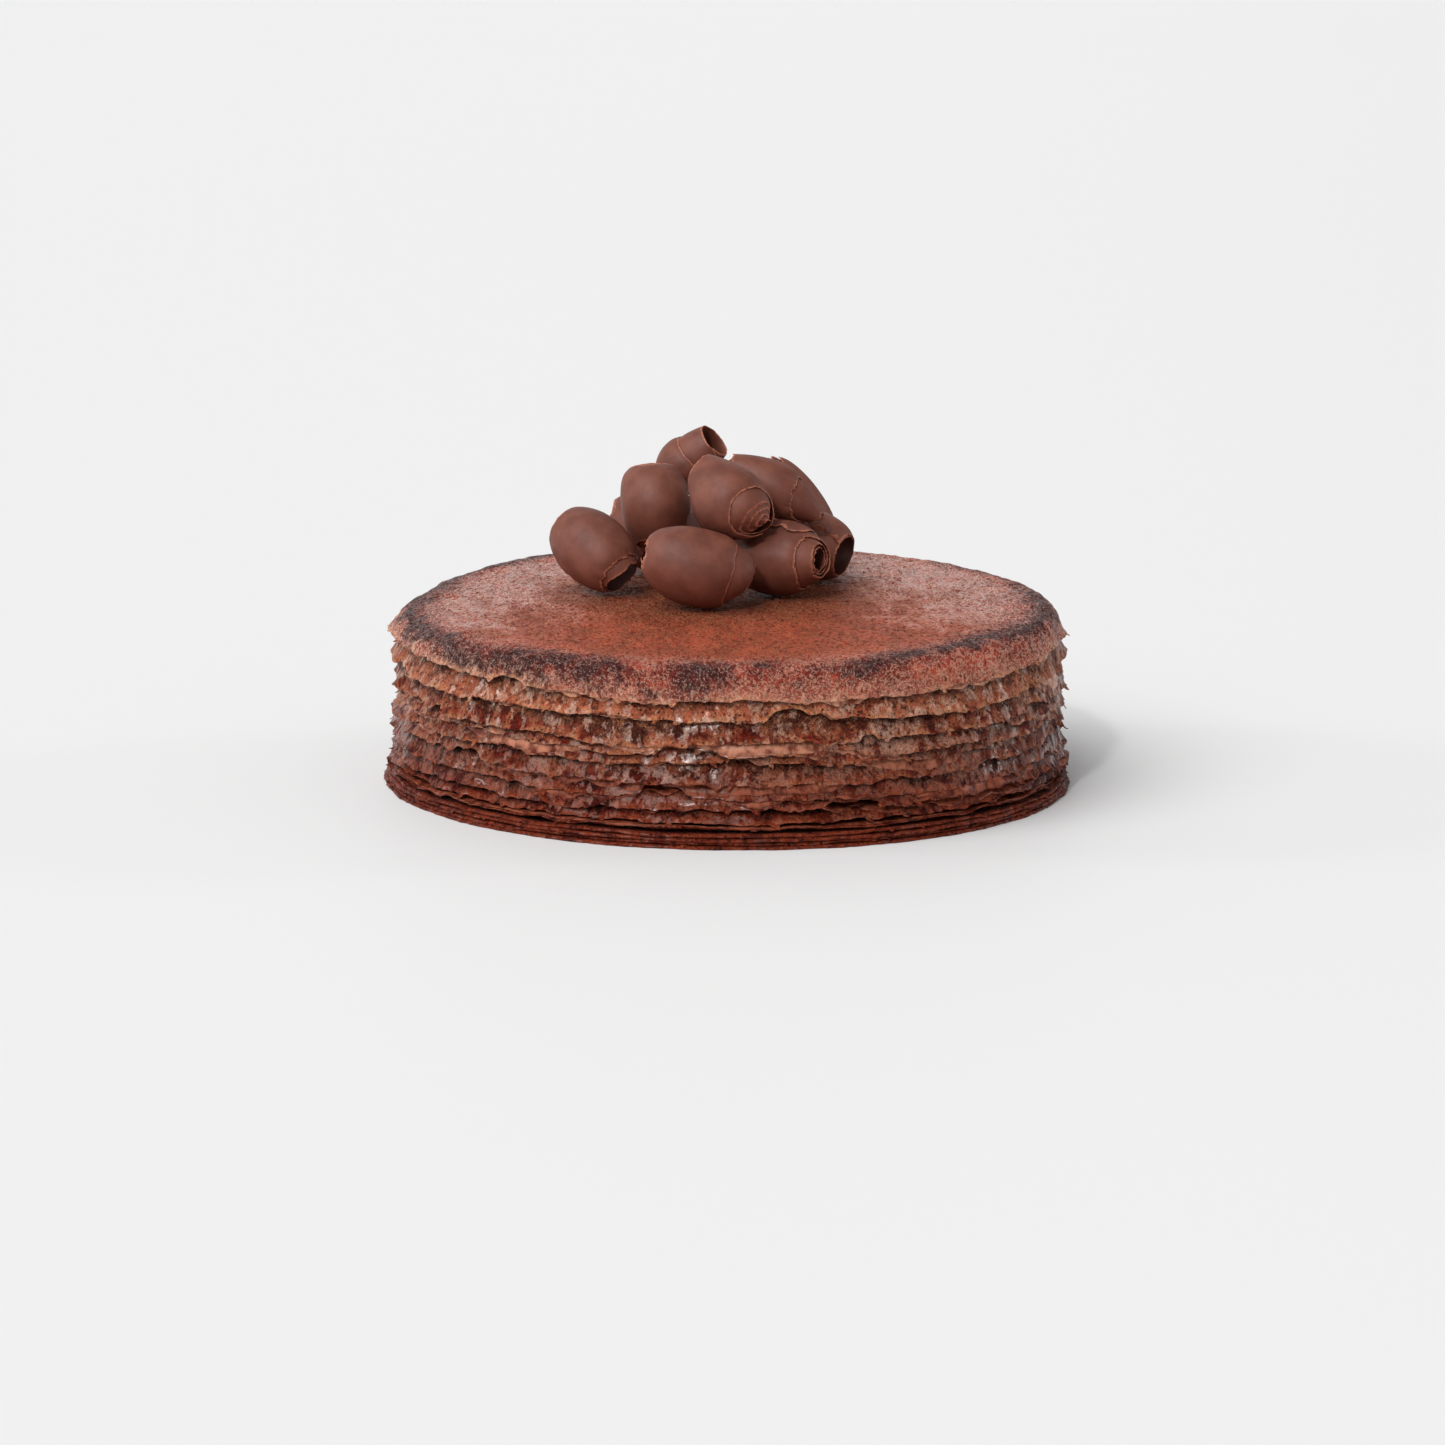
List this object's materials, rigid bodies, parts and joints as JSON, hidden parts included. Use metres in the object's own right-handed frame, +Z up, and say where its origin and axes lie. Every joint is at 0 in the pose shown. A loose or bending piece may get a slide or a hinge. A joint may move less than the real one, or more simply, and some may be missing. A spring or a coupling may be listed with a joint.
{
  "type": "crepe cake",
  "caption": "Round chocolate crepe cake: thin draped crepes layered with cream, ragged hems down the side, and rolled chocolate curls heaped on top.",
  "frame": {"origin": "on the surface the cake stands on, under the centre of its footprint", "axes": "+Z up through the layers, -Y towards the front of the cake, +X to the right seen from the front"},
  "size_m": [0.2272, 0.2288, 0.1109],
  "materials": {
    "crepe_top": "browned, leathery, slightly moist crepe with a scorched ring at the shoulder",
    "crepe": "porous cocoa crepe, paler and thinner towards its ragged hem",
    "crepe_pressed": "dark compact crepe, pressed flat",
    "cream": "soft chocolate cream, slightly glossy",
    "chocolate": "matte rolled milk chocolate with lighter broken edges"
  },
  "bodies": {
    "root": {"crepe_01": "crepe_top", "crepe_02": "crepe", "crepe_03": "crepe", "crepe_04": "crepe", "crepe_05": "crepe", "crepe_06": "crepe", "crepe_07": "crepe", "crepe_08": "crepe", "crepe_09": "crepe", "crepe_10": "crepe", "crepe_11": "crepe_pressed", "crepe_12": "crepe_pressed", "crepe_13": "crepe_pressed", "crepe_14": "crepe_pressed", "cream_01": "cream", "cream_02": "cream", "cream_03": "cream", "cream_04": "cream", "cream_05": "cream", "cream_06": "cream", "cream_07": "cream", "cream_08": "cream", "cream_09": "cream", "curl_left": "chocolate", "curl_left_back": "chocolate", "curl_upright": "chocolate", "curl_summit": "chocolate", "curl_front": "chocolate", "curl_centre": "chocolate", "curl_right_upper": "chocolate", "curl_leaning": "chocolate", "curl_right_front": "chocolate", "curl_right_back": "chocolate", "curl_back": "chocolate"}
  },
  "joints": []
}
